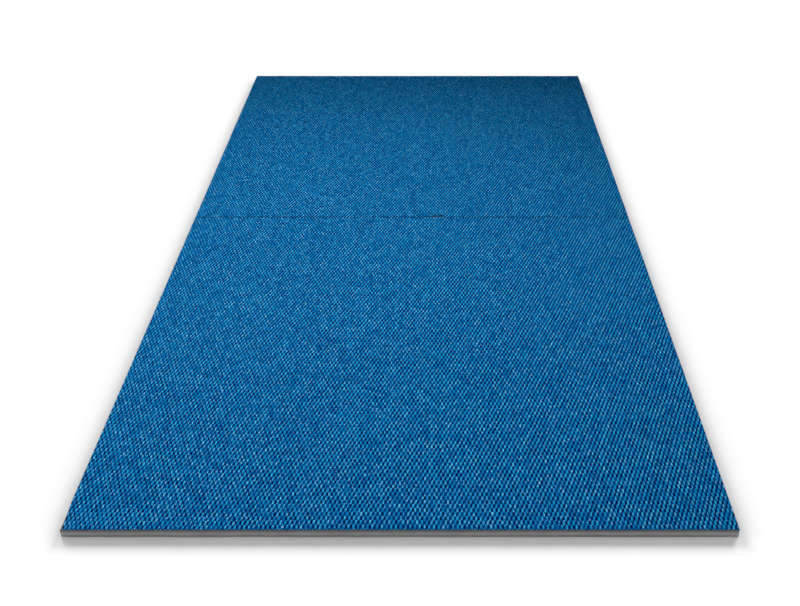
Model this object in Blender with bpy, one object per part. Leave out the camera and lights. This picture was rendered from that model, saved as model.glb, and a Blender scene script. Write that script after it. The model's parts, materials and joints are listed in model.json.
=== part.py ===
"""A folding pair of blocking mats for knitting and lace.

Two cloth-faced foam mats lie end to end and are sewn together along the edge where they meet.
Each mat is a stack of four sheets: a rubber backing, a foam core, a felt underlay and a woven
face cloth. The rear mat folds up and over the front mat about the seam, face to face.

Metres, +Z up. X runs across the mats and +Y runs from the front mat to the rear mat.
The origin is on the ground, in the middle of the flat pair.
"""

import bmesh
import bpy

# Footprint
WIDTH = 0.600
FRONT_LENGTH = 0.600
REAR_LENGTH = 0.574
SEAM_Y = (FRONT_LENGTH - REAR_LENGTH) / 2

# Sheets of one mat, from the ground up
BACKING_THICKNESS = 0.0012
CORE_THICKNESS = 0.0054
FELT_THICKNESS = 0.0007
CLOTH_THICKNESS = 0.0018
CLEARANCE = 0.0003

BACKING_BOTTOM = 0.0
CORE_BOTTOM = BACKING_BOTTOM + BACKING_THICKNESS + CLEARANCE
FELT_BOTTOM = CORE_BOTTOM + CORE_THICKNESS + CLEARANCE
CLOTH_BOTTOM = FELT_BOTTOM + FELT_THICKNESS + CLEARANCE
FACE_HEIGHT = CLOTH_BOTTOM + CLOTH_THICKNESS

# Edges
SEAM_GAP = 0.0008
BACKING_EDGE_RADIUS = 0.0003
CORE_EDGE_RADIUS = 0.0006
FELT_EDGE_RADIUS = 0.0001
CLOTH_EDGE_RADIUS = 0.0005

# Places where the cloth is trimmed short and the felt shows
CORNER_TRIM_WIDTH = 0.0020
CORNER_TRIM_LENGTH = 0.035
WEDGE_START_X = 0.008
WEDGE_DEEP_X = 0.043
WEDGE_END_X = 0.047
WEDGE_DEPTH = 0.0060

# The groove between the two rolled cloth edges, and the thread that whips across it
GROOVE_HALF_WIDTH = 0.0024
GROOVE_DEPTH = 0.0014
THREAD_RADIUS = 0.00025
STITCH_PITCH = 0.008
STITCH_REACH = 0.0009
STITCH_SIDE_MARGIN = 0.004

# The fold's axis lies just above the two faces
FOLD_AXIS_HEIGHT = FACE_HEIGHT + 0.0004


def clear_scene():
    for old in list(bpy.data.objects):
        bpy.data.objects.remove(old, do_unlink=True)


def make_material(name, colour, roughness, metallic=0.0):
    material = bpy.data.materials.new(name)
    material.use_nodes = True
    shader = material.node_tree.nodes["Principled BSDF"]
    shader.inputs["Base Color"].default_value = (*colour, 1.0)
    shader.inputs["Roughness"].default_value = roughness
    shader.inputs["Metallic"].default_value = metallic
    material.diffuse_color = (*colour, 1.0)
    return material


def link(item, parent=None):
    bpy.context.scene.collection.objects.link(item)
    item.parent = parent
    return item


def sheet(name, outline, bottom, thickness, edge_radius, material, parent):
    """A flat sheet with softened edges. The outline's Y is measured from the seam."""
    form = bmesh.new()
    face = form.faces.new([form.verts.new((x, y, 0.0)) for x, y in outline])
    raised = bmesh.ops.extrude_face_region(form, geom=[face])["geom"]
    top = [part for part in raised if isinstance(part, bmesh.types.BMVert)]
    bmesh.ops.translate(form, verts=top, vec=(0.0, 0.0, thickness))
    bmesh.ops.recalc_face_normals(form, faces=form.faces)
    mesh = bpy.data.meshes.new(name)
    form.to_mesh(mesh)
    form.free()
    mesh.materials.append(material)

    item = link(bpy.data.objects.new(name, mesh), parent)
    item.location.z = bottom - parent.location.z
    soften = item.modifiers.new("soft_edges", "BEVEL")
    soften.width = edge_radius
    soften.segments = 2
    soften.limit_method = "ANGLE"
    return item


def rectangle(start, end):
    half = WIDTH / 2
    return [(-half, start), (half, start), (half, end), (-half, end)]


def front_cloth_outline():
    """The front cloth, cut a little short along the left edge at its front corner."""
    half = WIDTH / 2
    return [
        (-half + CORNER_TRIM_WIDTH, -FRONT_LENGTH),
        (half, -FRONT_LENGTH),
        (half, -SEAM_GAP / 2),
        (-half, -SEAM_GAP / 2),
        (-half, -FRONT_LENGTH + CORNER_TRIM_LENGTH),
    ]


def rear_cloth_outline():
    """The rear cloth, cut short in a shallow wedge beside the seam."""
    half = WIDTH / 2
    edge = SEAM_GAP / 2
    return [
        (-half, edge),
        (WEDGE_START_X, edge),
        (WEDGE_DEEP_X, edge + WEDGE_DEPTH),
        (WEDGE_END_X, edge),
        (half, edge),
        (half, REAR_LENGTH),
        (-half, REAR_LENGTH),
    ]


def groove_cutter():
    """A prism along the seam whose lower edge is the bottom of the groove."""
    overshoot = 0.001
    rise = GROOVE_DEPTH + overshoot
    half_width = GROOVE_HALF_WIDTH * rise / GROOVE_DEPTH
    reach = WIDTH / 2 + overshoot
    form = bmesh.new()
    ends = []
    for x in (-reach, reach):
        profile = [(x, -half_width, rise), (x, 0.0, 0.0), (x, half_width, rise)]
        ends.append([form.verts.new(point) for point in profile])
    for i in range(3):
        j = (i + 1) % 3
        form.faces.new([ends[0][i], ends[0][j], ends[1][j], ends[1][i]])
    form.faces.new(ends[0])
    form.faces.new(ends[1])
    bmesh.ops.recalc_face_normals(form, faces=form.faces)
    mesh = bpy.data.meshes.new("groove_cutter")
    form.to_mesh(mesh)
    form.free()
    cutter = link(bpy.data.objects.new("groove_cutter", mesh))
    cutter.location = (0.0, SEAM_Y, FACE_HEIGHT - GROOVE_DEPTH)
    cutter.hide_render = True
    cutter.display_type = "WIRE"
    return cutter


def cut(item, cutter):
    groove = item.modifiers.new("seam_groove", "BOOLEAN")
    groove.operation = "DIFFERENCE"
    groove.object = cutter


def build_mat(side, plain_outline, cloth_outline, cutter, materials, parent):
    """The four sheets of one mat, from the ground up."""
    sheet(f"{side}_grip_backing", plain_outline, BACKING_BOTTOM, BACKING_THICKNESS,
          BACKING_EDGE_RADIUS, materials["rubber"], parent)
    sheet(f"{side}_foam_core", plain_outline, CORE_BOTTOM, CORE_THICKNESS,
          CORE_EDGE_RADIUS, materials["foam"], parent)
    sheet(f"{side}_felt_underlay", plain_outline, FELT_BOTTOM, FELT_THICKNESS,
          FELT_EDGE_RADIUS, materials["felt"], parent)
    cloth = sheet(f"{side}_face_cloth", cloth_outline, CLOTH_BOTTOM, CLOTH_THICKNESS,
                  CLOTH_EDGE_RADIUS, materials["cloth"], parent)
    cut(cloth, cutter)


def build_stitching(material, parent):
    """One thread that whips back and forth across the groove."""
    half_span = WIDTH / 2 - STITCH_SIDE_MARGIN
    crossings = round(2 * half_span / (STITCH_PITCH / 2))
    curve = bpy.data.curves.new("hinge_stitching", "CURVE")
    curve.dimensions = "3D"
    curve.bevel_depth = THREAD_RADIUS
    curve.bevel_resolution = 1
    curve.use_fill_caps = True
    route = curve.splines.new("POLY")
    route.points.add(crossings)
    for i, point in enumerate(route.points):
        across = -half_span + 2 * half_span * i / crossings
        along = STITCH_REACH if i % 2 else -STITCH_REACH
        point.co = (across, along, 0.0, 1.0)
    curve.materials.append(material)

    item = link(bpy.data.objects.new("hinge_stitching", curve), parent)
    item.location.z = FACE_HEIGHT - THREAD_RADIUS - parent.location.z


def main():
    clear_scene()
    materials = {
        "cloth": make_material("blue_cloth", (0.009, 0.123, 0.294), 0.80),
        "felt": make_material("brown_felt", (0.070, 0.058, 0.050), 0.95),
        "foam": make_material("grey_foam", (0.385, 0.381, 0.377), 0.85),
        "rubber": make_material("grey_rubber", (0.320, 0.322, 0.326), 0.80),
        "thread": make_material("blue_thread", (0.012, 0.110, 0.260), 0.60),
    }

    front = link(bpy.data.objects.new("front_mat_frame", None))
    front.location = (0.0, SEAM_Y, 0.0)
    rear = link(bpy.data.objects.new("fold_axis", None))
    rear.location = (0.0, SEAM_Y, FOLD_AXIS_HEIGHT)

    cutter = groove_cutter()
    front_outline = rectangle(-FRONT_LENGTH, -SEAM_GAP / 2)
    rear_outline = rectangle(SEAM_GAP / 2, REAR_LENGTH)
    build_mat("front", front_outline, front_cloth_outline(), cutter, materials, front)
    build_mat("rear", rear_outline, rear_cloth_outline(), cutter, materials, rear)
    build_stitching(materials["thread"], front)


main()
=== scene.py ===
import json
import math

import bpy
import numpy as np
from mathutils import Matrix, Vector


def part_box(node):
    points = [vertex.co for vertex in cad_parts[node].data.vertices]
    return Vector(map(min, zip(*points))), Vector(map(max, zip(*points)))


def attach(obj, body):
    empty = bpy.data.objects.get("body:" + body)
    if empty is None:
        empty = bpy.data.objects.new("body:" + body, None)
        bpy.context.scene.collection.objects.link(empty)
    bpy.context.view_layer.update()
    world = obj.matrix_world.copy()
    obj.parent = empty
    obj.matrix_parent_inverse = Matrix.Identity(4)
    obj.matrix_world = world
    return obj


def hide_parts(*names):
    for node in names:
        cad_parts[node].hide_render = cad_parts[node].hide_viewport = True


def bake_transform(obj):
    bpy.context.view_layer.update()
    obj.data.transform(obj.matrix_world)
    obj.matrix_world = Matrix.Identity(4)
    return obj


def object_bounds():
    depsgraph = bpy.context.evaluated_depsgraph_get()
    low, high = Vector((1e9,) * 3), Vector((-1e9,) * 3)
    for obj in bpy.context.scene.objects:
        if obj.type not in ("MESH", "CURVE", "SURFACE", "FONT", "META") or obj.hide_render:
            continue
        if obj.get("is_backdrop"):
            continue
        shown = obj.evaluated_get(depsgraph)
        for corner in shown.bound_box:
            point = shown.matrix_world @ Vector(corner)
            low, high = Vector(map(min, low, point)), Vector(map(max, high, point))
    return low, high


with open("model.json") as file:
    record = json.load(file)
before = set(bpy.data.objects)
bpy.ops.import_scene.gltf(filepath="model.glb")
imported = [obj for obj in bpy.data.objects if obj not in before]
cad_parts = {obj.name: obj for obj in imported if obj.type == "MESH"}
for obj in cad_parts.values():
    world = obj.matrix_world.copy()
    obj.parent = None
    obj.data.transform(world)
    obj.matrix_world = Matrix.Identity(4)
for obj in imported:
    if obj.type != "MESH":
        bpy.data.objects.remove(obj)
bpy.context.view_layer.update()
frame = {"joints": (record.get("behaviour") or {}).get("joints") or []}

MM = 0.001
FULL_TURN = 2 * math.pi

# The frame's own measures
FRONT_LOW, FRONT_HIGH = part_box("front_face_cloth")
WIDTH = FRONT_HIGH[0] - FRONT_LOW[0]
FACE_TOP = FRONT_HIGH[2]
SEAM_Y = frame["joints"][0]["pos_m"][1]
FOAM_LOW, FOAM_HIGH = (corner[2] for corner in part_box("front_foam_core"))

# Weave: light warp threads run from front to back, dark weft picks run from side to side.
# Places in it are counted in threads and picks. The rear cloth's weave is shifted a little.
WARP_THREADS = 286
WARP_PITCH = WIDTH / WARP_THREADS
PICK_PITCH = 5.21 * MM
THREAD_SAMPLES = np.array([0.0, 0.2, 0.5, 0.8])
PICK_SAMPLES = np.array([0.0, 0.25, 0.5, 0.75])
THREAD_EDGE_LINES = np.array([0.0, 0.09, 0.24])
PICK_EDGE_LINES = np.array([0.0, 0.04, 0.11])
EDGE_CLEARANCE = 0.08
REAR_SHIFT_THREADS = 0.4
REAR_SHIFT_PICKS = 0.4
LIFT_TABLE = (301, 73)
PLUMP_TABLE = (307, 71)

# The light part of a float, in threads across and in picks along, and its colours
FLOAT_HALF_WIDTH = 0.48
FLOAT_HALF_LENGTH = 0.55
FLOAT_LENGTH_SPREAD = 0.06
FLOAT_WIDTH_POWER = 2.6
FLOAT_LENGTH_POWER = 2.2
WARP_TONE_SHARE = 0.42
HEATHER_SHARE = 0.47
DRIFT_SHARE = 0.11
YARN_STOPS = [
    (0.08, (0.0000, 0.070, 0.236)),
    (0.30, (0.0000, 0.129, 0.354)),
    (0.52, (0.0004, 0.196, 0.456)),
    (0.74, (0.0110, 0.276, 0.552)),
    (0.95, (0.0700, 0.395, 0.655)),
]
FLECK_COLOUR = (0.150, 0.530, 0.740)
# Painted light: a pale grey painted on the cloth's cut walls to lift the shade on them
PAINTED_WALL_LIGHT_COLOUR = (0.340, 0.360, 0.370)

# Heights in the weave, measured down from the face, and how uneven they are
WARP_RADIUS = 0.55 * MM
WARP_ROUNDING = 1.96
WARP_EDGE_ROUND = 0.34
WARP_WAVE = 0.45 * MM
UNEVEN_WAVE = 0.07 * MM
UNEVEN_LIFT = 0.06 * MM
UNEVEN_PLUMP = 0.10 * MM
WEFT_CROWN = 0.45 * MM
WEFT_RADIUS = 0.45 * MM
WEFT_ARCH = 0.92
WEFT_DIP = 0.18 * MM
LEAST_CLOTH = 0.1 * MM

# Unevenness of the whole cloth: how much, and over what distance
FACE_SWELLS = [(0.08 * MM, 60 * MM), (0.04 * MM, 7 * MM)]
SWAYS = [(0.20 * MM, 9 * MM), (0.45 * MM, 70 * MM)]
BOWS = [(0.30 * MM, 12 * MM), (0.9 * MM, 110 * MM)]
FLOAT_SLANT = 0.22 * MM
SETTLE_REACH = 3 * MM

# Edges
CUT_EDGE_DROP = 0.55 * MM
CUT_EDGE_REACH = 0.9 * MM
SEAM_DROP = 1.15 * MM
SEAM_REACH = 2.3 * MM
CORNER_TRIM = 2.0 * MM
CORNER_TRIM_LENGTH = 35 * MM
WEDGE_START_X = 8 * MM
WEDGE_DEEP_X = 43 * MM
WEDGE_END_X = 47 * MM
WEDGE_DEPTH = 6 * MM
PULL_REACH = 14 * MM
# How far past the seam's wedge the painted wall light stays off
PAINTED_WALL_LIGHT_CLEARANCE = 2 * MM
CREASE_ANGLE = math.radians(50)

# Whip stitching along the seam
STITCH_PITCH = 8 * MM
STITCH_REACH = 1.7 * MM
STITCH_SLANT = 2.2 * MM
STITCH_LEVEL = FACE_TOP - 0.35 * MM
STITCH_SAG = 0.35 * MM
STITCH_DIVE = 0.75 * MM
STITCH_DIVE_START = 0.78
STITCH_POINTS = 25
SIDE_MARGIN = 4 * MM
THREAD_RADIUS = 0.27 * MM
THREAD_PLIES = 3
THREAD_PLY_DEPTH = 0.16
THREAD_SIDES = 9
THREAD_TWIST = 420.0

# Tape under the two cloths, which bridges the seam
TAPE_THICKNESS = 0.18 * MM
TAPE_REACH = 5.0 * MM
TAPE_RIB = 0.9 * MM
TAPE_LEFT_MARGIN = 2 * MM
TAPE_RIGHT_MARGIN = 1 * MM
TAPE_COLUMN = 3 * MM
TAPE_WING = np.array([0.5 * MM, 1.5 * MM, 3 * MM, TAPE_REACH])
TAPE_FOLD_ROWS = 15
TAPE_WAVE = 0.25 * MM
TAPE_WAVE_LENGTH = 20 * MM
TAPE_STRAIGHT = 2 * MM
SEAM_HALF_GAP = SEAM_Y - FRONT_HIGH[1]

# Slabs: each wall ring is a share up the wall and an inset
FELT_LEVELS = [(0.0, 0.2 * MM), (0.3, 0.0), (0.7, 0.05 * MM), (1.0, 0.3 * MM)]
FOAM_LEVELS = [(0.0, 0.5 * MM), (0.06, 0.15 * MM), (0.2, 0.05 * MM), (0.5, 0.12 * MM),
               (0.8, 0.05 * MM), (0.94, 0.15 * MM), (1.0, 0.5 * MM)]
RUBBER_LEVELS = [(0.0, 0.2 * MM), (0.25, 0.0), (0.75, 0.0), (1.0, 0.2 * MM)]
FELT_STEP, FELT_WAVINESS = 1.5 * MM, 0.25 * MM
FOAM_STEP, FOAM_WAVINESS = 3 * MM, 0.2 * MM
RUBBER_STEP, RUBBER_WAVINESS = 3 * MM, 0.12 * MM
WALL_WAVE_LENGTH = 0.02
WALL_WAVE_SHARE = 0.6

# Raised dots under the mats
DOT_PITCH = 10 * MM
DOT_RADIUS = 2.0 * MM
DOT_HEIGHT = 0.5 * MM
DOT_SIDES = 10
DOT_PROFILE = [(1.0, 0.08 * MM), (0.94, -0.32 * MM), (0.72, -DOT_HEIGHT)]
DOT_VARIATION = 0.04

# Camera
LENS = 45.35
SENSOR_WIDTH = 36.0
SHIFT_X = -0.0416
PITCH = math.radians(32.1)
CAMERA_X = 0.0296
CAMERA_HEIGHT = 0.6404
CAMERA_DISTANCE = 0.6462

# Light: each floor lamp is an angle round from +X, a rise, both in degrees, and a share of strength
SKY = 0.05
BACKDROP_RADIUS = 30.0
OVERHEAD_POWER = 0.56
OVERHEAD_ANGLE = 140.0
OVERHEAD_AIM = (0.0, 0.5, -1.0)
FLOOR_LAMPS = [(0.0, 24.0, 0.8), (60.0, 28.0, 1.9), (120.0, 28.0, 1.9),
               (180.0, 24.0, 0.8), (240.0, 13.0, 0.3), (300.0, 13.0, 0.3)]
FLOOR_LAMP_STRENGTH = 0.56
FLOOR_LAMP_ANGLE = 26.0
FLOOR_SIZE = 64.0
SOFTBOX_PLACE = (-0.12, 0.60, 1.36)
SOFTBOX_AIM = (-0.27, -1.04, 0.0)
SOFTBOX_SIZE = 0.4
SOFTBOX_SPREAD = 114.6
SOFTBOX_POWER = 16.9

# The share of the cloth's unwrapped map that its top takes; the walls and underside share the rest
TOP_MAP = 0.94
WALL_MAP = (0.955, 0.965)
UNDER_MAP = (0.975, 0.02)


# ---------------------------------------------------------------- camera and light

def make_camera():
    """A camera in front of the mats, a little right of their centreline, looking down at them."""
    data = bpy.data.cameras.new("camera")
    camera = bpy.data.objects.new("camera", data)
    bpy.context.scene.collection.objects.link(camera)
    data.lens = LENS
    data.sensor_width = SENSOR_WIDTH
    data.shift_x = SHIFT_X
    data.clip_start = 0.01
    camera.location = (CAMERA_X, FRONT_LOW[1] - CAMERA_DISTANCE, FACE_TOP + CAMERA_HEIGHT)
    camera.rotation_euler = (math.pi / 2 - PITCH, 0.0, 0.0)
    bpy.context.scene.camera = camera


def add_lamp(name, kind, place, target, lit, **settings):
    """A lamp that lights only the objects in lit."""
    data = bpy.data.lights.new(name, kind)
    for label, value in settings.items():
        setattr(data, label, value)
    lamp = bpy.data.objects.new(name, data)
    bpy.context.scene.collection.objects.link(lamp)
    lamp.location = place
    aim = Vector(target) - Vector(place)
    lamp.rotation_euler = aim.to_track_quat("-Z", "Y").to_euler()
    lit_by_lamp = bpy.data.collections.new(name)
    for item in lit:
        lit_by_lamp.objects.link(item)
    lamp.light_linking.receiver_collection = lit_by_lamp


def make_floor():
    """The plain pale floor."""
    bpy.ops.mesh.primitive_plane_add(size=FLOOR_SIZE)
    floor = bpy.context.object
    floor.name = "floor"
    material = bpy.data.materials.new("floor")
    material.use_nodes = True
    shader = material.node_tree.nodes["Principled BSDF"]
    shader.inputs["Base Color"].default_value = (0.90, 0.90, 0.90, 1.0)
    shader.inputs["Roughness"].default_value = 0.9
    shader.inputs["Specular IOR Level"].default_value = 0.1
    floor.data.materials.append(material)
    floor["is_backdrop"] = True
    return floor


def make_backdrop():
    """A plain white dome round the floor, seen behind the mats in low views and lighting nothing."""
    bpy.ops.mesh.primitive_uv_sphere_add(radius=BACKDROP_RADIUS, segments=64, ring_count=32)
    dome = bpy.context.object
    dome.name = "backdrop"
    material = bpy.data.materials.new("backdrop")
    material.use_nodes = True
    shader = material.node_tree.nodes["Principled BSDF"]
    shader.inputs["Base Color"].default_value = (0.0, 0.0, 0.0, 1.0)
    shader.inputs["Emission Color"].default_value = (1.0, 1.0, 1.0, 1.0)
    shader.inputs["Emission Strength"].default_value = 1.0
    dome.data.materials.append(material)
    dome.visible_diffuse = False
    dome.visible_glossy = False
    dome.visible_transmission = False
    dome.visible_shadow = False
    dome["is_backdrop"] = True


def make_studio(pieces):
    """The floor, its own ring of lamps, strongest from behind, and two soft lights on the pieces."""
    scene = bpy.context.scene
    scene.view_settings.view_transform = "Standard"
    scene.view_settings.look = "None"
    world = bpy.data.worlds.new("studio")
    world.use_nodes = True
    background = world.node_tree.nodes["Background"]
    background.inputs["Color"].default_value = (1.0, 1.0, 1.0, 1.0)
    background.inputs["Strength"].default_value = SKY
    scene.world = world
    floor = make_floor()
    make_backdrop()
    for i, (turn, rise, share) in enumerate(FLOOR_LAMPS):
        turn = math.radians(turn)
        rise = math.radians(rise)
        place = (math.cos(turn) * math.cos(rise), math.sin(turn) * math.cos(rise), math.sin(rise))
        add_lamp(f"floor_lamp_{i}", "SUN", place, (0.0, 0.0, 0.0), [floor],
                 energy=FLOOR_LAMP_STRENGTH * share / math.sin(rise),
                 angle=math.radians(FLOOR_LAMP_ANGLE))
    add_lamp("overhead", "SUN", (0.0, 0.0, 0.0), OVERHEAD_AIM, pieces, energy=OVERHEAD_POWER,
             angle=math.radians(OVERHEAD_ANGLE))
    add_lamp("softbox", "AREA", SOFTBOX_PLACE, SOFTBOX_AIM, pieces, shape="SQUARE",
             size=SOFTBOX_SIZE, energy=SOFTBOX_POWER, spread=math.radians(SOFTBOX_SPREAD))


# ---------------------------------------------------------------- node helpers

class Nodes:
    """Short names for building one material's node tree."""

    def __init__(self, name):
        self.material = bpy.data.materials.new(name)
        self.material.use_nodes = True
        self.tree = self.material.node_tree
        self.shader = self.tree.nodes["Principled BSDF"]

    def add(self, kind, **settings):
        node = self.tree.nodes.new(kind)
        for name, value in settings.items():
            setattr(node, name, value)
        return node

    def feed(self, socket, value):
        if isinstance(value, bpy.types.NodeSocket):
            self.tree.links.new(value, socket)
        else:
            socket.default_value = value

    def math(self, operation, *values):
        node = self.add("ShaderNodeMath", operation=operation)
        for socket, value in zip(node.inputs, values):
            self.feed(socket, value)
        return node.outputs[0]

    def combine(self, x, y, z=0.0):
        node = self.add("ShaderNodeCombineXYZ")
        for socket, value in zip(node.inputs, (x, y, z)):
            self.feed(socket, value)
        return node.outputs[0]

    def ramp(self, value, stops):
        node = self.add("ShaderNodeValToRGB")
        elements = node.color_ramp.elements
        while len(elements) < len(stops):
            elements.new(0.5)
        for element, (place, colour) in zip(elements, stops):
            element.position = place
            element.color = (*colour, 1.0)
        self.feed(node.inputs["Fac"], value)
        return node.outputs["Color"]

    def split(self, vector):
        node = self.add("ShaderNodeSeparateXYZ")
        self.feed(node.inputs[0], vector)
        return node.outputs

    def smooth_range(self, value, low, high):
        """0 below low, 1 above high, and a smooth change between."""
        node = self.add("ShaderNodeMapRange", interpolation_type="SMOOTHSTEP")
        self.feed(node.inputs["Value"], value)
        node.inputs["From Min"].default_value = low
        node.inputs["From Max"].default_value = high
        return node.outputs[0]

    def mix(self, factor, a, b):
        node = self.add("ShaderNodeMix", data_type="RGBA")
        self.feed(node.inputs["Factor"], factor)
        self.feed(node.inputs["A"], a if isinstance(a, bpy.types.NodeSocket) else (*a, 1.0))
        self.feed(node.inputs["B"], b if isinstance(b, bpy.types.NodeSocket) else (*b, 1.0))
        return node.outputs["Result"]

    def noise(self, vector, scale, detail=2.0, roughness=0.5):
        node = self.add("ShaderNodeTexNoise")
        self.feed(node.inputs["Vector"], vector)
        node.inputs["Scale"].default_value = scale
        node.inputs["Detail"].default_value = detail
        node.inputs["Roughness"].default_value = roughness
        return node.outputs["Fac"]

    def bump(self, height, strength, distance):
        node = self.add("ShaderNodeBump")
        node.inputs["Strength"].default_value = strength
        node.inputs["Distance"].default_value = distance
        self.feed(node.inputs["Height"], height)
        return node.outputs["Normal"]

    def place(self):
        return self.add("ShaderNodeTexCoord").outputs["Object"]


# ---------------------------------------------------------------- materials

def cloth_material():
    """Heathered light-blue warp floats over navy weft, with painted light on the cut walls: a pale
    grey that lifts the shade on them.
    """
    n = Nodes("woven_blue_cloth")
    thread, pick, cut_wall = n.split(
        n.add("ShaderNodeAttribute", attribute_name="weave").outputs["Vector"])

    number = n.math("FLOOR", thread)
    odd = n.math("FLOORED_MODULO", number, 2.0)
    turned = n.math("MULTIPLY", n.math("SUBTRACT", n.math("ADD", pick, 0.5), odd), 0.5)
    float_number = n.math("FLOOR", turned)
    across = n.math("SUBTRACT", n.math("FRACT", thread), 0.5)
    along = n.math("SUBTRACT", n.math("MULTIPLY", n.math("FRACT", turned), 2.0), 1.0)
    warp_random = n.add("ShaderNodeTexWhiteNoise", noise_dimensions="2D")
    n.feed(warp_random.inputs["Vector"], n.combine(number, float_number))
    weft_random = n.add("ShaderNodeTexWhiteNoise", noise_dimensions="2D")
    n.feed(weft_random.inputs["Vector"], n.combine(number, n.math("FLOOR", pick)))
    yarn_place = n.combine(n.math("MULTIPLY", thread, 2.1), n.math("MULTIPLY", pick, 2.4))
    fibres = n.noise(yarn_place, 1.3, 3.0, 0.65)
    fleck_place = n.combine(n.math("MULTIPLY", thread, 1.9), n.math("MULTIPLY", pick, 2.6), 7.3)
    flecks = n.noise(fleck_place, 0.9, 1.0)
    drift = n.noise(n.place(), 5.0, 2.0, 0.5)

    half_length = n.math("MULTIPLY_ADD", weft_random.outputs["Value"], FLOAT_LENGTH_SPREAD,
                         FLOAT_HALF_LENGTH)
    wide = n.math("ABSOLUTE", n.math("DIVIDE", across, FLOAT_HALF_WIDTH))
    wide = n.math("POWER", wide, FLOAT_WIDTH_POWER)
    long = n.math("ABSOLUTE", n.math("DIVIDE", along, half_length))
    long = n.math("POWER", long, FLOAT_LENGTH_POWER)
    inside = n.math("SUBTRACT", 1.0, n.math("ADD", wide, long))
    edge = n.math("MULTIPLY_ADD", n.math("SUBTRACT", fibres, 0.5), 0.5, inside)
    cover = n.smooth_range(edge, -0.25, 0.30)

    heather = n.math("MULTIPLY_ADD", n.math("SUBTRACT", fibres, 0.5), 1.3, 0.5)
    tone = n.math("MULTIPLY_ADD", heather, HEATHER_SHARE, n.math("MULTIPLY", drift, DRIFT_SHARE))
    tone = n.math("MULTIPLY_ADD", warp_random.outputs["Value"], WARP_TONE_SHARE, tone)
    yarn_colour = n.ramp(tone, YARN_STOPS)
    warp_colour = n.mix(n.smooth_range(flecks, 0.57, 0.70), yarn_colour, FLECK_COLOUR)
    weft_colour = n.ramp(weft_random.outputs["Value"], [
        (0.00, (0.0000, 0.005, 0.056)),
        (0.60, (0.0000, 0.016, 0.100)),
        (1.00, (0.0002, 0.038, 0.160)),
    ])
    woven = n.mix(cover, weft_colour, warp_colour)
    # Painted light: the cut walls away from the seam are painted pale grey, with a ragged edge from
    # the fibre noise, to lift the shade on them
    ragged_wall_light = n.math("MULTIPLY_ADD", fibres, 0.5, n.math("SUBTRACT", cut_wall, 0.25))
    painted_wall_light = n.smooth_range(ragged_wall_light, 0.05, 0.30)
    n.feed(n.shader.inputs["Base Color"], n.mix(painted_wall_light, woven, PAINTED_WALL_LIGHT_COLOUR))

    turn = n.math("ADD", n.math("MULTIPLY", across, 1.3), n.math("MULTIPLY", pick, 2.6))
    twist = n.math("SINE", n.math("MULTIPLY", turn, FULL_TURN))
    relief = n.math("ADD", n.math("MULTIPLY", twist, 0.30), n.math("MULTIPLY", fibres, 0.8))
    n.feed(n.shader.inputs["Normal"], n.bump(relief, 0.5, 0.2 * MM))
    n.feed(n.shader.inputs["Roughness"], n.math("MULTIPLY_ADD", fibres, 0.25, 0.70))
    n.shader.inputs["Specular IOR Level"].default_value = 0.005
    n.shader.inputs["Sheen Weight"].default_value = 0.05
    n.shader.inputs["Sheen Roughness"].default_value = 0.5
    n.shader.inputs["Sheen Tint"].default_value = (0.0, 0.30, 0.80, 1.0)
    return n.material


def felt_material():
    """Dark brown needled felt, with its walls painted paler than its faces: painted light that lifts
    the shade on its cut walls.
    """
    n = Nodes("brown_felt")
    place = n.place()
    tangle = n.noise(place, 900.0, 5.0, 0.7)
    patches = n.noise(place, 120.0, 3.0)
    tone = n.math("ADD", n.math("MULTIPLY", tangle, 0.7), n.math("MULTIPLY", patches, 0.3))
    face_colour = n.ramp(tone, [
        (0.25, (0.022, 0.020, 0.019)),
        (0.50, (0.046, 0.042, 0.039)),
        (0.80, (0.085, 0.078, 0.072)),
    ])
    painted_light_wall_colour = n.ramp(tone, [
        (0.25, (0.110, 0.102, 0.096)),
        (0.50, (0.190, 0.180, 0.172)),
        (0.80, (0.280, 0.268, 0.258)),
    ])
    facing = n.split(n.add("ShaderNodeTexCoord").outputs["Normal"])
    flat = n.math("ABSOLUTE", facing[2])
    # Painted light: surfaces facing sideways take the paler wall colour, flat faces the dark face
    # colour
    n.feed(n.shader.inputs["Base Color"], n.mix(flat, painted_light_wall_colour, face_colour))
    n.feed(n.shader.inputs["Normal"], n.bump(tangle, 0.9, 0.3 * MM))
    n.feed(n.shader.inputs["Roughness"], n.math("MULTIPLY_ADD", tangle, 0.15, 0.83))
    n.shader.inputs["Sheen Weight"].default_value = 0.2
    return n.material


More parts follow.
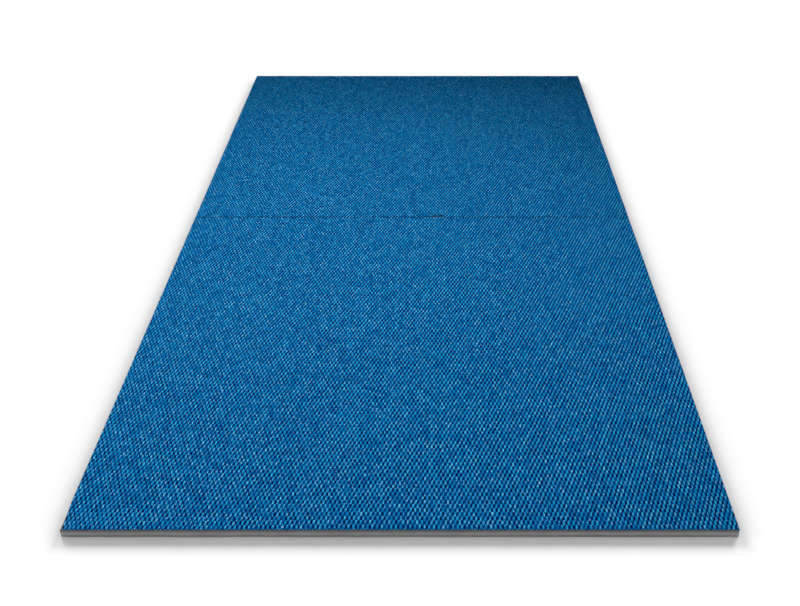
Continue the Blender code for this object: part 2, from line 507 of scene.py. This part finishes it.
def foam_material():
    """Closed-cell grey foam with fine pores, with painted light: a tone darker towards its top and
    paler towards its bottom, standing in for the bounce off the bright floor.
    """
    n = Nodes("grey_foam")
    place = n.place()
    cells = n.add("ShaderNodeTexVoronoi", feature="F1")
    n.feed(cells.inputs["Vector"], place)
    cells.inputs["Scale"].default_value = 1600.0
    pores = cells.outputs["Distance"]
    mottle = n.noise(place, 70.0, 4.0, 0.6)
    grain = n.noise(place, 1100.0, 3.0, 0.6)
    # Painted light: the tone runs from paler at the foam's bottom to darker at its top, standing in
    # for light bounced off the floor
    height = n.add("ShaderNodeMapRange")
    n.feed(height.inputs["Value"], n.split(place)[2])
    height.inputs["From Min"].default_value = FOAM_LOW
    height.inputs["From Max"].default_value = FOAM_HIGH
    height.inputs["To Min"].default_value = 0.35
    height.inputs["To Max"].default_value = -0.12
    tone = n.math("ADD", n.math("MULTIPLY", mottle, 0.5),
                  n.math("MULTIPLY_ADD", grain, 0.5, height.outputs[0]))
    colour = n.ramp(tone, [
        (0.25, (0.310, 0.306, 0.302)),
        (0.50, (0.385, 0.381, 0.377)),
        (0.75, (0.460, 0.456, 0.452)),
        (1.00, (0.600, 0.596, 0.592)),
    ])
    n.feed(n.shader.inputs["Base Color"], colour)
    n.feed(n.shader.inputs["Normal"], n.bump(pores, 0.5, 0.2 * MM))
    n.feed(n.shader.inputs["Roughness"], n.math("MULTIPLY_ADD", grain, 0.2, 0.75))
    n.shader.inputs["Specular IOR Level"].default_value = 0.3
    return n.material


def rubber_material():
    """Matt grey rubber sheet, a little dusty."""
    n = Nodes("grey_rubber")
    place = n.place()
    dust = n.noise(place, 45.0, 5.0, 0.65)
    grain = n.noise(place, 1300.0, 3.0, 0.6)
    base = n.ramp(dust, [
        (0.30, (0.300, 0.302, 0.306)),
        (0.70, (0.400, 0.402, 0.406)),
    ])
    n.feed(n.shader.inputs["Base Color"], base)
    n.feed(n.shader.inputs["Normal"], n.bump(grain, 0.35, 0.12 * MM))
    n.feed(n.shader.inputs["Roughness"], n.math("MULTIPLY_ADD", grain, 0.3, 0.5))
    return n.material


def tape_material():
    """Dark blue-grey ribbed binding tape."""
    n = Nodes("dark_tape")
    place = n.place()
    ribs = n.math("SINE", n.math("MULTIPLY", n.split(place)[0], FULL_TURN / TAPE_RIB))
    fuzz = n.noise(place, 1200.0, 4.0, 0.65)
    tone = n.math("MULTIPLY_ADD", ribs, 0.15, n.math("MULTIPLY_ADD", fuzz, 0.7, 0.15))
    n.feed(n.shader.inputs["Base Color"], n.ramp(tone, [
        (0.20, (0.004, 0.030, 0.065)),
        (0.50, (0.010, 0.058, 0.118)),
        (0.80, (0.028, 0.098, 0.175)),
    ]))
    n.feed(n.shader.inputs["Normal"], n.bump(ribs, 0.6, 0.1 * MM))
    n.feed(n.shader.inputs["Roughness"], n.math("MULTIPLY_ADD", fuzz, 0.2, 0.75))
    n.shader.inputs["Specular IOR Level"].default_value = 0.05
    return n.material


def thread_material():
    """Twisted blue sewing thread."""
    n = Nodes("blue_thread")
    place = n.place()
    fuzz = n.noise(place, 2500.0, 3.0)
    plies = n.add("ShaderNodeTexWave", wave_type="BANDS", bands_direction="DIAGONAL")
    n.feed(plies.inputs["Vector"], place)
    plies.inputs["Scale"].default_value = 420.0
    tone = n.math("ADD", n.math("MULTIPLY", plies.outputs["Fac"], 0.6),
                  n.math("MULTIPLY", fuzz, 0.4))
    colour = n.ramp(tone, [
        (0.20, (0.001, 0.035, 0.110)),
        (0.60, (0.006, 0.095, 0.230)),
        (0.95, (0.030, 0.170, 0.330)),
    ])
    n.feed(n.shader.inputs["Base Color"], colour)
    n.feed(n.shader.inputs["Normal"], n.bump(plies.outputs["Fac"], 0.8, 0.1 * MM))
    n.feed(n.shader.inputs["Roughness"], n.math("MULTIPLY_ADD", fuzz, 0.2, 0.5))
    n.shader.inputs["Sheen Weight"].default_value = 0.15
    return n.material


# ---------------------------------------------------------------- mesh helpers

def smooth_noise(rng, x, y, cell):
    """Smooth random values, about -1 to 1, that change over a distance of one cell."""
    gx = (x - x.min()) / cell
    gy = (y - y.min()) / cell
    table = rng.uniform(-1.0, 1.0, (int(gx.max()) + 3, int(gy.max()) + 3))
    ix = gx.astype(int)
    iy = gy.astype(int)
    fx = gx - ix
    fy = gy - iy
    fx = fx * fx * (3 - 2 * fx)
    fy = fy * fy * (3 - 2 * fy)
    low = table[ix, iy] * (1 - fx) + table[ix + 1, iy] * fx
    high = table[ix, iy + 1] * (1 - fx) + table[ix + 1, iy + 1] * fx
    return low * (1 - fy) + high * fy


def grid_faces(rows, columns):
    """The faces of a grid of points, and the points round its rim, anticlockwise from above."""
    index = np.arange(rows * columns).reshape(rows, columns)
    quads = np.stack([index[:-1, :-1], index[:-1, 1:], index[1:, 1:], index[1:, :-1]], axis=-1)
    rim = np.concatenate([index[0, :], index[1:, -1], index[-1, -2::-1], index[-2:0:-1, 0]])
    return quads.reshape(-1, 4), rim


def grid_sheet(name, x, y, top, bottom_z, weave):
    """A closed sheet: a grid of top points, walls down its four sides and a flat underside.

    x, y and top are arrays of one shape, rows from front to back and columns from left to right.
    weave is each top point's place in the weave, which the walls and underside take from the rim.
    """
    rows, columns = x.shape
    grid = np.stack([x, y, top], axis=-1).reshape(-1, 3)
    quads, rim = grid_faces(rows, columns)
    skirt = grid[rim].copy()
    skirt[:, 2] = bottom_z
    centre = np.array([[x.mean(), y.mean(), bottom_z]])
    points = np.concatenate([grid, skirt, centre])

    around = np.arange(len(rim))
    onward = np.roll(around, -1)
    low = len(grid) + around
    low_next = len(grid) + onward
    walls = np.stack([low, low_next, rim[onward], rim], axis=-1)
    fan = np.stack([low_next, low, np.full(len(rim), len(points) - 1)], axis=-1)
    item = mesh_from(name, points, [quads, walls, fan])
    data = np.zeros((len(points), 3), np.float32)
    data[:len(grid)] = weave
    data[len(grid):-1] = weave[rim]
    # The third weave value is 1 at the lower wall edge and underside away from the seam: the mask of
    # the cloth's painted wall light
    from_seam = np.abs(points[len(grid):, 1] - SEAM_Y)
    data[len(grid):, 2] = from_seam > WEDGE_DEPTH + PAINTED_WALL_LIGHT_CLEARANCE
    attribute = item.data.attributes.new("weave", "FLOAT_VECTOR", "POINT")
    attribute.data.foreach_set("vector", data.ravel())

    across = np.linspace(0.0, 1.0, columns)[None, :].repeat(rows, 0).ravel()
    along = np.linspace(0.0, 1.0, rows)[:, None].repeat(columns, 1).ravel()
    flat_place = np.stack([across, along], axis=-1)
    top_map = flat_place[quads.reshape(-1)] * TOP_MAP
    here = around * TOP_MAP / len(rim)
    there = (around + 1) * TOP_MAP / len(rim)
    strip = np.stack([here, there, there, here], axis=-1)
    rise = np.tile(np.repeat(WALL_MAP, 2), (len(rim), 1))
    wall_map = np.stack([strip, rise], axis=-1).reshape(-1, 2)
    under_start, under_size = UNDER_MAP
    under = flat_place[rim] * under_size + under_start
    hub = np.full((len(rim), 2), under_start + under_size / 2)
    fan_map = np.stack([under[onward], under, hub], axis=1).reshape(-1, 2)
    places = np.concatenate([top_map, wall_map, fan_map])
    layer = item.data.uv_layers.new(name="OFBake")
    layer.uv.foreach_set("vector", places.astype(np.float32).ravel())
    return item


def mesh_from(name, points, faces):
    """A mesh object from arrays of points and of faces with the same number of corners."""
    corners = np.concatenate([f.reshape(-1) for f in faces])
    sizes = np.concatenate([np.full(len(f), f.shape[1]) for f in faces])
    mesh = bpy.data.meshes.new(name)
    mesh.vertices.add(len(points))
    mesh.vertices.foreach_set("co", points.astype(np.float32).ravel())
    mesh.loops.add(len(corners))
    mesh.loops.foreach_set("vertex_index", corners.astype(np.int32))
    mesh.polygons.add(len(sizes))
    starts = np.concatenate([[0], np.cumsum(sizes)[:-1]])
    mesh.polygons.foreach_set("loop_start", starts.astype(np.int32))
    mesh.update(calc_edges=True)
    mesh.shade_smooth()
    item = bpy.data.objects.new(name, mesh)
    bpy.context.scene.collection.objects.link(item)
    return item


def finish_piece(item, material, body, node):
    """Give a piece its material and slot and the body it rides on, and hide the CAD node it stands
    for.
    """
    item.data.materials.append(material)
    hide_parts(node)
    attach(item, body)


# ---------------------------------------------------------------- face cloth

def lattice_lines(low, high, fractions, edge_lines):
    """Coordinates from low to high: each whole number plus each fraction, and the edge lines."""
    whole = np.arange(math.floor(low) - 1, math.ceil(high) + 1)
    inner = (whole[:, None] + fractions[None, :]).ravel()
    clear = edge_lines[-1] + EDGE_CLEARANCE
    inner = inner[(inner > low + clear) & (inner < high - clear)]
    return np.concatenate([low + edge_lines, inner, (high - edge_lines)[::-1]])


def edge_drop(distance, reach, drop):
    """A quarter-round fall of the surface towards an edge."""
    near = np.clip(1 - distance / reach, 0.0, 1.0)
    return drop * (1 - np.sqrt(np.clip(1 - near ** 2, 0.0, 1.0)))


def float_value(values, thread, pick):
    """The value in a table, -1 to 1, for the float that each point of a warp thread belongs to."""
    odd = thread % 2
    number = np.floor((pick + 0.5 - odd) / 2).astype(int)
    return values[thread % values.shape[0], number % values.shape[1]]


def warp_height(thread, pick, roundness, tables):
    """Height of one warp thread below the face: it rises over one pick and dives under the next."""
    sign = np.where(thread % 2 == 0, 1.0, -1.0)
    wave = sign * np.sin(math.pi * pick)
    lift = float_value(tables["lift"], thread, pick)
    plump = float_value(tables["plump"], thread, pick)
    crown = (WARP_WAVE + UNEVEN_WAVE * lift) * (wave - 1) - UNEVEN_LIFT * (1 - lift)
    return crown + (WARP_RADIUS + UNEVEN_PLUMP * plump) * (roundness - 1)


def weft_height(thread, pick, across):
    """Height of the weft below the face: it arches over each warp thread that is down."""
    along = np.abs(pick - np.floor(pick) - 0.5) * 2
    flat = np.sqrt(np.clip(1 - WEFT_ARCH * along ** 2, 0.0, 1.0))
    return -WEFT_CROWN + WEFT_RADIUS * (flat - 1) - WEFT_DIP * (2 * across) ** 2


def weave_heights(column, pick, tables):
    """Height below the face at grid points given in threads and picks."""
    thread = np.floor(column + 1e-6).astype(int)
    across = column - thread - 0.5
    valley = np.abs(across + 0.5) < 1e-3
    bulge = 1 - (np.abs(across) * WARP_ROUNDING) ** 2
    roundness = np.sqrt(np.clip(bulge, WARP_EDGE_ROUND ** 2, 1.0))
    warp = warp_height(thread, pick, roundness, tables)
    beside = warp_height(thread - 1, pick, np.full_like(column, WARP_EDGE_ROUND), tables)
    warp = np.where(valley, np.maximum(warp, beside), warp)
    return np.maximum(warp, weft_height(thread, pick, across))


def face_cloth(side, seed, shift_threads, shift_picks):
    """One mat's woven cloth, with every float raised, its edges worn and its short cut pulled in."""
    low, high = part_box(f"{side}_face_cloth")
    rng = np.random.default_rng(seed)
    left = low[0]
    base = low[1] if side == "rear" else high[1]
    columns = lattice_lines(shift_threads, shift_threads + WARP_THREADS, THREAD_SAMPLES,
                            THREAD_EDGE_LINES)
    pick_low = (low[1] - base) / PICK_PITCH + shift_picks
    pick_high = (high[1] - base) / PICK_PITCH + shift_picks
    rows = lattice_lines(pick_low, pick_high, PICK_SAMPLES, PICK_EDGE_LINES)
    column, pick = np.meshgrid(columns, rows)
    x = left + (column - shift_threads) * WARP_PITCH
    y = base + (pick - shift_picks) * PICK_PITCH

    tables = {
        "lift": rng.uniform(-1, 1, LIFT_TABLE),
        "plump": rng.uniform(-1, 1, PLUMP_TABLE),
    }
    height = weave_heights(column, pick, tables)
    for amount, cell in FACE_SWELLS:
        height += amount * (smooth_noise(rng, x, y, cell) - 1)

    to_seam = (high[1] - y) if side == "front" else (y - low[1])
    to_cut = (y - low[1]) if side == "front" else (high[1] - y)
    to_side = np.minimum(x - low[0], high[0] - x)
    height -= edge_drop(np.minimum(to_side, to_cut), CUT_EDGE_REACH, CUT_EDGE_DROP)
    height -= edge_drop(to_seam, SEAM_REACH, SEAM_DROP)
    height = np.maximum(height, low[2] - high[2] + LEAST_CLOTH)

    to_edge = np.minimum(np.minimum(to_side, to_cut), to_seam)
    settled = np.clip(to_edge / SETTLE_REACH, 0.0, 1.0)
    thread = np.floor(column + 1e-6)
    sign = np.where(thread % 2 == 0, 1.0, -1.0)
    on_valley = np.abs(column - thread) < 1e-3
    slant = np.where(on_valley, -0.5 * np.sin(FULL_TURN * pick), -sign * np.cos(math.pi * pick))
    sway = sum(amount * smooth_noise(rng, x, y, cell) for amount, cell in SWAYS)
    bow = sum(amount * smooth_noise(rng, x, y, cell) for amount, cell in BOWS)
    moved_x = x + settled * (FLOAT_SLANT * slant + sway)
    moved_y = y + settled * bow
    if side == "front":
        corner = np.clip(1 - (y - low[1]) / CORNER_TRIM_LENGTH, 0.0, 1.0)
        moved_x += CORNER_TRIM * corner * np.clip(1 - (x - low[0]) / PULL_REACH, 0.0, 1.0)
    else:
        rising = (x - WEDGE_START_X) / (WEDGE_DEEP_X - WEDGE_START_X)
        falling = (WEDGE_END_X - x) / (WEDGE_END_X - WEDGE_DEEP_X)
        wedge = np.clip(np.minimum(rising, falling), 0.0, 1.0)
        moved_y += WEDGE_DEPTH * wedge * np.clip(1 - (y - low[1]) / PULL_REACH, 0.0, 1.0)

    weave = np.stack([column, pick, np.zeros_like(column)], axis=-1).reshape(-1, 3)
    return grid_sheet(f"{side}_woven_cloth", moved_x, moved_y, high[2] + height, low[2], weave)


# ---------------------------------------------------------------- slabs

def rim_points(low, high, step):
    """Points round a rectangle, anticlockwise, with the outward direction at each."""
    width = high[0] - low[0]
    depth = high[1] - low[1]
    across = np.linspace(0.0, 1.0, round(width / step) + 1)[:-1]
    along = np.linspace(0.0, 1.0, round(depth / step) + 1)[:-1]
    sides = [
        (low[0] + across * width, np.full(len(across), low[1]), 0.0, -1.0),
        (np.full(len(along), high[0]), low[1] + along * depth, 1.0, 0.0),
        (high[0] - across * width, np.full(len(across), high[1]), 0.0, 1.0),
        (np.full(len(along), low[0]), high[1] - along * depth, -1.0, 0.0),
    ]
    x = np.concatenate([s[0] for s in sides])
    y = np.concatenate([s[1] for s in sides])
    out_x = np.concatenate([np.full(len(s[0]), s[2]) for s in sides])
    out_y = np.concatenate([np.full(len(s[0]), s[3]) for s in sides])
    return x, y, out_x, out_y


def slab(name, low, high, step, levels, waviness, seed):
    """A flat slab whose wall is a stack of rings, each a share up the wall and an inset in metres."""
    rng = np.random.default_rng(seed)
    x, y, out_x, out_y = rim_points(low, high, step)
    count = len(x)
    travelled = np.arange(count) * step
    knots = np.arange(0, travelled[-1] + WALL_WAVE_LENGTH, WALL_WAVE_LENGTH)
    coarse = np.interp(travelled, knots,
                       rng.uniform(0, 1, int(travelled[-1] / WALL_WAVE_LENGTH) + 2))
    rings = []
    for share, inset in levels:
        fine = rng.uniform(0, 1, count)
        wave = WALL_WAVE_SHARE * coarse + (1 - WALL_WAVE_SHARE) * fine
        back = inset + waviness * wave
        z = low[2] + share * (high[2] - low[2])
        rings.append(np.stack([x - out_x * back, y - out_y * back, np.full(count, z)], axis=-1))
    points = np.concatenate(rings)
    around = np.arange(count)
    onward = np.roll(around, -1)
    walls = []
    for level in range(len(rings) - 1):
        below = level * count
        above = below + count
        walls.append(np.stack([below + around, below + onward, above + onward, above + around],
                              axis=-1))
    top = (len(rings) - 1) * count
    faces = [np.concatenate(walls), around[None, ::-1], top + around[None, :]]
    item = mesh_from(name, points, faces)
    item.data.polygons[-1].use_smooth = False
    item.data.polygons[-2].use_smooth = False
    item.data.set_sharp_from_angle(angle=CREASE_ANGLE)
    return item


# ---------------------------------------------------------------- stitching

def twisted_thread(route):
    """Points and faces of a plied thread along a route, closed at both ends."""
    sides = THREAD_SIDES
    steps = np.diff(route, axis=0)
    lengths = np.linalg.norm(steps, axis=1)
    forward = np.zeros_like(route)
    forward[:-1] += steps / lengths[:, None]
    forward[1:] += steps / lengths[:, None]
    forward /= np.linalg.norm(forward, axis=1)[:, None]
    side_way = np.cross(forward, [1.0, 0.0, 0.0])
    side_way /= np.linalg.norm(side_way, axis=1)[:, None]
    up_way = np.cross(forward, side_way)
    travelled = np.concatenate([[0.0], np.cumsum(lengths)])
    angle = np.linspace(0.0, FULL_TURN, sides, endpoint=False)[None, :]
    twist = (travelled * THREAD_TWIST * FULL_TURN)[:, None]
    plies = np.cos(THREAD_PLIES * (angle - twist))
    reach = THREAD_RADIUS * (1 - THREAD_PLY_DEPTH + THREAD_PLY_DEPTH * plies)
    ring = (np.cos(angle)[..., None] * side_way[:, None, :]
            + np.sin(angle)[..., None] * up_way[:, None, :])
    points = route[:, None, :] + reach[..., None] * ring
    rows = len(route)
    index = np.arange(rows * sides).reshape(rows, sides)
    onward = np.roll(index, -1, axis=1)
    tube = np.stack([index[:-1], onward[:-1], onward[1:], index[1:]], axis=-1).reshape(-1, 4)
    first, last = rows * sides, rows * sides + 1
    caps = np.concatenate([
        np.stack([onward[0], index[0], np.full(sides, first)], axis=-1),
        np.stack([index[-1], onward[-1], np.full(sides, last)], axis=-1),
    ])
    return np.concatenate([points.reshape(-1, 3), route[:1], route[-1:]]), tube, caps


def whip_stitches():
    """Slanted stitches over the seam. Each one's ends dive into the two cloth edges."""
    rng = np.random.default_rng(31)
    count = round((WIDTH - 2 * SIDE_MARGIN) / STITCH_PITCH)
    points, tubes, caps = [], [], []
    total = 0
    for i in range(count):
        x = FRONT_LOW[0] + SIDE_MARGIN + (i + 0.5) * STITCH_PITCH + rng.uniform(-0.5, 0.5) * MM
        reach = STITCH_REACH + rng.uniform(-0.2, 0.2) * MM
        lean = STITCH_SLANT + rng.uniform(-0.4, 0.4) * MM
        sag = STITCH_SAG + rng.uniform(-0.08, 0.08) * MM
        share = np.linspace(-1.0, 1.0, STITCH_POINTS)
        dive = np.clip((np.abs(share) - STITCH_DIVE_START) / (1 - STITCH_DIVE_START), 0.0, 1.0)
        z = STITCH_LEVEL - sag * (1 - share ** 2) - STITCH_DIVE * dive ** 1.5
        route = np.stack([x + lean * share / 2, SEAM_Y + reach * share, z], axis=-1)
        stitch_points, stitch_tube, stitch_caps = twisted_thread(route)
        points.append(stitch_points)
        tubes.append(stitch_tube + total)
        caps.append(stitch_caps + total)
        total += len(stitch_points)
    return mesh_from("seam_stitches", np.concatenate(points),
                     [np.concatenate(tubes), np.concatenate(caps)])


def seam_tape():
    """A thin tape between felt and cloth, its middle finely divided across the seam."""
    level = (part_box("front_felt_underlay")[1][2] + FRONT_LOW[2]) / 2
    x = np.arange(FRONT_LOW[0] + TAPE_LEFT_MARGIN, FRONT_HIGH[0] - TAPE_RIGHT_MARGIN, TAPE_COLUMN)
    middle = np.linspace(-SEAM_HALF_GAP, SEAM_HALF_GAP, TAPE_FOLD_ROWS)
    y = SEAM_Y + np.concatenate([-TAPE_WING[::-1], middle, TAPE_WING])
    rows, columns = len(y), len(x)
    wave = TAPE_WAVE * smooth_noise(np.random.default_rng(41), x, 0 * x, TAPE_WAVE_LENGTH)
    along = y[:, None] + wave[None, :] * (np.abs(y - SEAM_Y) > TAPE_STRAIGHT)[:, None]
    flat = np.stack([np.broadcast_to(x, (rows, columns)), along,
                     np.full((rows, columns), level)], axis=-1)
    lift = np.array([0.0, 0.0, TAPE_THICKNESS / 2])
    points = np.concatenate([(flat + lift).reshape(-1, 3), (flat - lift).reshape(-1, 3)])
    over, rim = grid_faces(rows, columns)
    under = over[:, ::-1] + rows * columns
    onward = np.roll(rim, -1)
    sides = np.stack([rim + rows * columns, onward + rows * columns, onward, rim], axis=-1)
    item = mesh_from("seam_tape", points, [over, under, sides])
    item.data.set_sharp_from_angle(angle=CREASE_ANGLE)
    return item


# ---------------------------------------------------------------- grip backing

def dotted_backing(side, seed):
    """A rubber sheet with rows of small round-shouldered dots on its underside."""
    low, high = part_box(f"{side}_grip_backing")
    base = low.copy()
    base[2] = low[2] + DOT_HEIGHT
    item = slab(f"{side}_rubber_backing", base, high, RUBBER_STEP, RUBBER_LEVELS,
                RUBBER_WAVINESS, seed)
    rng = np.random.default_rng(seed)
    sides = DOT_SIDES
    angle = np.linspace(0.0, FULL_TURN, sides, endpoint=False)
    across = math.floor((high[0] - low[0]) / DOT_PITCH)
    along = math.floor((high[1] - low[1]) / DOT_PITCH)
    x = (low[0] + high[0]) / 2 + (np.arange(across) - (across - 1) / 2) * DOT_PITCH
    y = (low[1] + high[1]) / 2 + (np.arange(along) - (along - 1) / 2) * DOT_PITCH
    x, y = (v.ravel() for v in np.meshgrid(x, y, indexing="ij"))
    size = DOT_RADIUS * (1 + rng.uniform(-DOT_VARIATION, DOT_VARIATION, len(x)))
    shares, drops = np.array(DOT_PROFILE).T
    reach = np.concatenate([np.repeat(shares, sides), [0.0, 0.0]])
    turn = np.concatenate([np.tile(angle, len(shares)), [0.0, 0.0]])
    height = np.concatenate([np.repeat(drops, sides), [drops[-1], drops[0]]])
    points = np.stack([x[:, None] + size[:, None] * (reach * np.cos(turn))[None, :],
                       y[:, None] + size[:, None] * (reach * np.sin(turn))[None, :],
                       base[2] + np.broadcast_to(height, (len(x), len(height)))], axis=-1)
    index = np.arange(len(shares) * sides).reshape(len(shares), sides)
    onward = np.roll(index, -1, axis=1)
    tip = len(shares) * sides
    quads = np.stack([index[:-1], index[1:], onward[1:], onward[:-1]], axis=-1).reshape(-1, 4)
    caps = np.concatenate([np.stack([index[-1], np.full(sides, tip), onward[-1]], axis=-1),
                           np.stack([onward[0], np.full(sides, tip + 1), index[0]], axis=-1)])
    first = np.arange(len(x))[:, None, None] * (tip + 2)
    dots = mesh_from(f"{side}_dots", points.reshape(-1, 3),
                     [(first + quads).reshape(-1, 4), (first + caps).reshape(-1, 3)])
    return item, dots


# ---------------------------------------------------------------- main

make_camera()

cloth = cloth_material()
felt = felt_material()
foam = foam_material()
rubber = rubber_material()
thread = thread_material()
pieces = []

front_cloth = face_cloth("front", seed=11, shift_threads=0.0, shift_picks=0.0)
finish_piece(front_cloth, cloth, "front_mat", "front_face_cloth")
rear_cloth = face_cloth("rear", seed=12, shift_threads=REAR_SHIFT_THREADS,
                        shift_picks=REAR_SHIFT_PICKS)
finish_piece(rear_cloth, cloth, "rear_mat", "rear_face_cloth")
pieces += [front_cloth, rear_cloth]

for side, seed in (("front", 21), ("rear", 22)):
    body = f"{side}_mat"
    low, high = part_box(f"{side}_felt_underlay")
    felt_sheet = slab(f"{side}_felt", low, high, FELT_STEP, FELT_LEVELS, FELT_WAVINESS, seed)
    finish_piece(felt_sheet, felt, body, f"{side}_felt_underlay")
    low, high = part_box(f"{side}_foam_core")
    core = slab(f"{side}_foam", low, high, FOAM_STEP, FOAM_LEVELS, FOAM_WAVINESS, seed + 10)
    finish_piece(core, foam, body, f"{side}_foam_core")
    backing, dots = dotted_backing(side, seed + 20)
    finish_piece(backing, rubber, body, f"{side}_grip_backing")
    dots.data.materials.append(rubber)
    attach(dots, body)
    pieces += [felt_sheet, core, backing, dots]

stitches = whip_stitches()
stitches.data.materials.append(thread)
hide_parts("hinge_stitching")
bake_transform(stitches)
pieces.append(stitches)

tape = seam_tape()
tape.data.materials.append(tape_material())
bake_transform(tape)
pieces.append(tape)

make_studio(pieces)

low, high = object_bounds()
